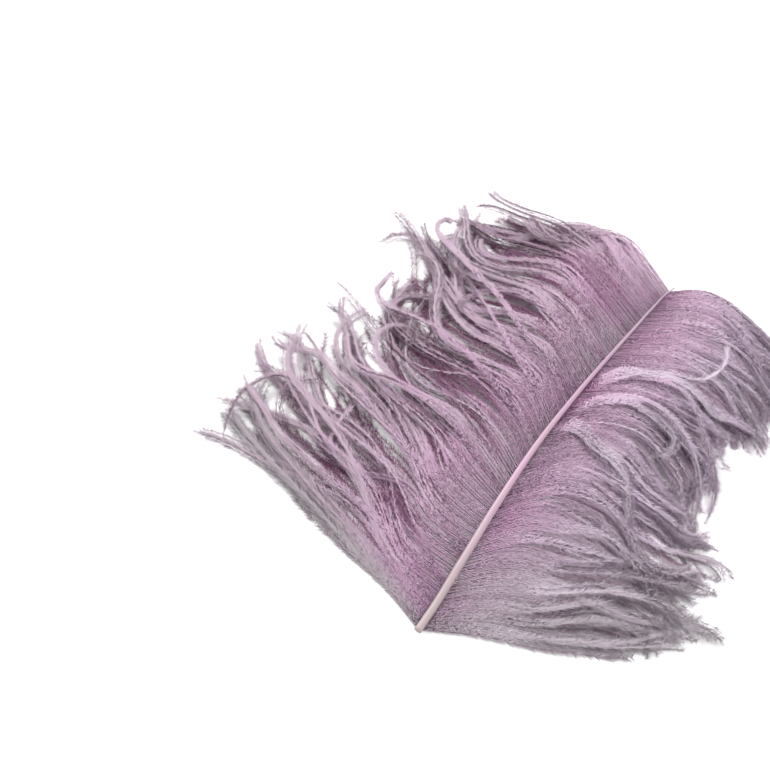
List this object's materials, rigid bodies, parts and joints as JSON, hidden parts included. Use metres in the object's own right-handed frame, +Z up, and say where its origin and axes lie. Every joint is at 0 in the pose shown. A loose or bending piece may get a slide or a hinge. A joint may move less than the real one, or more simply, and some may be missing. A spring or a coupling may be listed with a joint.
{
  "type": "ostrich feather",
  "caption": "Dyed silver mauve ostrich plume lying on a surface: an arched tapering shaft with a broad vane of long drooping downy barbs on each side, hanging in curling locks.",
  "frame": {"origin": "on the surface that the feather lies on, below the middle of its box", "axes": "+Z up, away from the surface; +Y along the shaft, from the cut quill towards the plume's tip; +X to the right seen from above"},
  "size_m": [0.297, 0.3094, 0.0193],
  "materials": {
    "barbs": "soft matt down, silver grey with a mauve cast",
    "shaft": "smooth pale horn with a faint pink cast, satin"
  },
  "bodies": {
    "root": {"feather": "barbs"}
  },
  "joints": []
}
